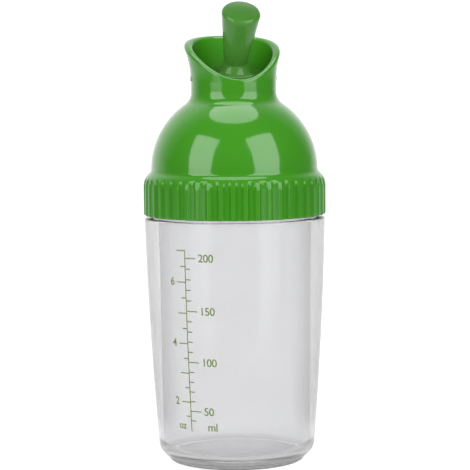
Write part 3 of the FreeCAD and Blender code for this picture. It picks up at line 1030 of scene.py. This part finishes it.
class SHAKER_OT_stage(Operator):
    """Sets the pale floor, the softboxes and the camera"""

    bl_idname = "shaker.stage"
    bl_label = "Stage"

    def execute(self, context):
        scene = context.scene
        settings = scene.shaker_stage
        self.backdrop(scene)
        self.world(scene)
        left, right = settings.side_light * 0.76, settings.side_light * 0.92
        self.softbox("left softbox", left, turn=-48.0, rise=23.6, distance=0.95, width=0.59, height=0.8)
        self.softbox("right softbox", right, turn=46.0, rise=24.6, distance=0.95, width=0.67, height=0.85)
        fill = self.softbox(
            "front fill", settings.fill_light, turn=0.0, rise=25.0, distance=1.2, width=0.6, height=0.6
        )
        fill.visible_glossy = False
        overhead = self.softbox(
            "top softbox", settings.top_light, turn=0.0, rise=93.0, distance=0.95, width=0.82, height=0.75
        )
        overhead.data.shape = "ELLIPSE"
        self.spare(overhead, bpy.data.objects["thumb_lever"])
        self.camera(scene, settings)
        scene.view_settings.view_transform = "Standard"
        return {"FINISHED"}

    def backdrop(self, scene):
        """A floor that bends up into a wall: a run, a quarter circle and a run, drawn out sideways."""
        half_width, front, bend_start, bend_radius, top = 3.0, -3.0, 1.2, 0.6, 3.0
        bend = arc((bend_start, bend_radius), bend_radius, -90.0, 0.0, 16)
        path = np.concatenate([[(front, 0.0)], bend, [(bend_start + bend_radius, top)]])
        sides = np.tile((-half_width, half_width), len(path))
        points = np.column_stack([sides, np.repeat(path, 2, axis=0)])
        row = np.arange(len(path) - 1)[:, None] * 2
        faces = np.concatenate([row, row + 1, row + 3, row + 2], axis=1).tolist()
        made = make_object("pale_backdrop", points, faces)
        pale = bpy.data.materials.new("pale paper")
        pale.use_nodes = True
        shader = pale.node_tree.nodes["Principled BSDF"]
        shader.inputs["Base Color"].default_value = (*scene.shaker_finishes.floor, 1.0)
        shader.inputs["Roughness"].default_value = 0.9
        shader.inputs["Emission Color"].default_value = WHITE
        self.glow(pale.node_tree, shader, scene.shaker_stage.turn)
        made.data.materials.append(pale)

    def glow(self, tree, shader, turn):
        """Light of its own that evens out the paper, and looks plain white to the camera.

        It is less far out at the sides and in front, with a painted patch of light below each front lamp.
        """
        place = object_place(tree)
        x, y, _ = axes(tree, place)
        away = vector_node(tree, "LENGTH", place).outputs["Value"]
        spread = ramp(tree, away, 0.2, 1.6, 0.64, 0.95)
        depth = math_node(tree, "MAXIMUM", math_node(tree, "ADD", y, 1.0), 0.1)
        bearing = math_node(tree, "DIVIDE", math_node(tree, "ABSOLUTE", x), depth)
        aside = ramp(tree, bearing, 0.45, 1.1, 1.0, 0.3)
        front = ramp(tree, y, -0.35, 0.02, 0.3, 1.0)
        even = times(tree, times(tree, spread, aside), front)
        heading = math_node(tree, "ARCTAN2", x, times(tree, y, -1.0))
        swing = math_node(tree, "ABSOLUTE", math_node(tree, "SUBTRACT", heading, turn))
        off = math_node(tree, "ABSOLUTE", math_node(tree, "SUBTRACT", swing, math.radians(45.0)))
        # Painted light: a bright patch of glow on the floor below each front lamp
        painted_pool = ramp(tree, off, 0.19, 0.23, 1.2, 0.0)
        far = ramp(tree, away, 0.22, 0.4, 0.0, 1.0)
        lit = math_node(tree, "ADD", even, times(tree, painted_pool, far))
        seen = times(tree, tree.nodes.new("ShaderNodeLightPath").outputs["Is Camera Ray"], 0.88)
        link(tree, math_node(tree, "MAXIMUM", lit, seen), shader.inputs["Emission Strength"])

    def world(self, scene):
        """A room that is bright at the back, dimmer by the camera and plain white behind the object."""
        world = bpy.data.worlds.new("studio")
        world.use_nodes = True
        scene.world = world
        tree = world.node_tree
        _, y, z = axes(tree, tree.nodes.new("ShaderNodeTexCoord").outputs["Generated"])
        backward = math_node(tree, "ADD", y, times(tree, z, 0.4))
        room = ramp(tree, backward, 0.4, 0.95, 0.12, 0.95)
        seen = tree.nodes.new("ShaderNodeLightPath").outputs["Is Camera Ray"]
        background = tree.nodes["Background"]
        link(tree, math_node(tree, "MAXIMUM", room, seen), background.inputs["Strength"])
        background.inputs["Color"].default_value = WHITE

    def softbox(self, name, power, turn, rise, distance, width, height):
        """A rectangular light aimed at the cap, turned and raised in degrees as seen from the front."""
        settings, aim_height = bpy.context.scene.shaker_stage, 0.115
        lamp = bpy.data.lights.new(name, "AREA")
        lamp.shape = "RECTANGLE"
        lamp.size, lamp.size_y = width, height
        lamp.energy = power
        holder = bpy.data.objects.new(name, lamp)
        a, e = math.radians(turn) + settings.turn, math.radians(rise)
        toward = Vector((math.sin(a) * math.cos(e), -math.cos(a) * math.cos(e), math.sin(e)))
        holder.location = Vector((0.0, 0.0, aim_height)) + toward * distance
        holder.rotation_euler = toward.to_track_quat("Z", "Y").to_euler()
        bpy.context.scene.collection.objects.link(holder)
        return holder

    def spare(self, holder, piece):
        """Keeps a light off one piece, as a flag in front of the lamp does."""
        flagged = bpy.data.collections.new("flagged from " + holder.name)
        flagged.objects.link(piece)
        flagged.collection_objects[0].light_linking.link_state = "EXCLUDE"
        holder.light_linking.receiver_collection = flagged

    def camera(self, scene, settings):
        """The camera at the photograph's place: level distance, eye height, turn, tilt and roll."""
        data = bpy.data.cameras.new("camera")
        data.sensor_width = 36.0
        data.lens = settings.lens
        data.clip_start, data.clip_end = 0.01, 20.0
        holder = bpy.data.objects.new("camera", data)
        side, front = math.sin(settings.turn), -math.cos(settings.turn)
        holder.location = (settings.distance * side, settings.distance * front, settings.eye_height)
        turned = Matrix.Rotation(settings.turn, 3, "Z")
        tilted = Matrix.Rotation(math.pi / 2.0 - settings.tilt, 3, "X")
        rolled = Matrix.Rotation(settings.roll, 3, "Z")
        holder.rotation_euler = (turned @ tilted @ rolled).to_euler()
        scene.collection.objects.link(holder)
        scene.camera = holder


class SHAKER_PT_panel(Panel):
    """Lists the builders of the shaker bottle"""

    bl_idname = "SHAKER_PT_panel"
    bl_label = "Shaker bottle"
    bl_space_type = "VIEW_3D"
    bl_region_type = "UI"
    bl_category = "Shaker"

    def draw(self, context):
        for operator in OPERATORS:
            self.layout.operator(operator.bl_idname)
        for name in GROUPS:
            box = self.layout.box()
            settings = getattr(context.scene, name)
            for field in settings.__annotations__:
                box.prop(settings, field)


GROUPS = {
    "shaker_cup": ShakerCupSizes,
    "shaker_cap": ShakerCapSizes,
    "shaker_lever": ShakerLeverSizes,
    "shaker_scale": ShakerScaleSizes,
    "shaker_finishes": ShakerFinishes,
    "shaker_stage": ShakerStageSettings,
}
OPERATORS = (
    SHAKER_OT_cup,
    SHAKER_OT_scale,
    SHAKER_OT_cap,
    SHAKER_OT_lever,
    SHAKER_OT_pin,
    SHAKER_OT_seals,
    SHAKER_OT_stage,
)
CLASSES = (*GROUPS.values(), *OPERATORS, SHAKER_PT_panel)


def register():
    for made in CLASSES:
        bpy.utils.register_class(made)
    for name, group in GROUPS.items():
        setattr(bpy.types.Scene, name, PointerProperty(type=group))


def unregister():
    for name in GROUPS:
        delattr(bpy.types.Scene, name)
    for made in reversed(CLASSES):
        bpy.utils.unregister_class(made)


def main():
    register()
    bpy.ops.shaker.cup()
    bpy.ops.shaker.scale()
    bpy.ops.shaker.cap()
    bpy.ops.shaker.lever()
    bpy.ops.shaker.pin()
    bpy.ops.shaker.seals()
    bpy.ops.shaker.stage()


if __name__ == "__main__":
    main()
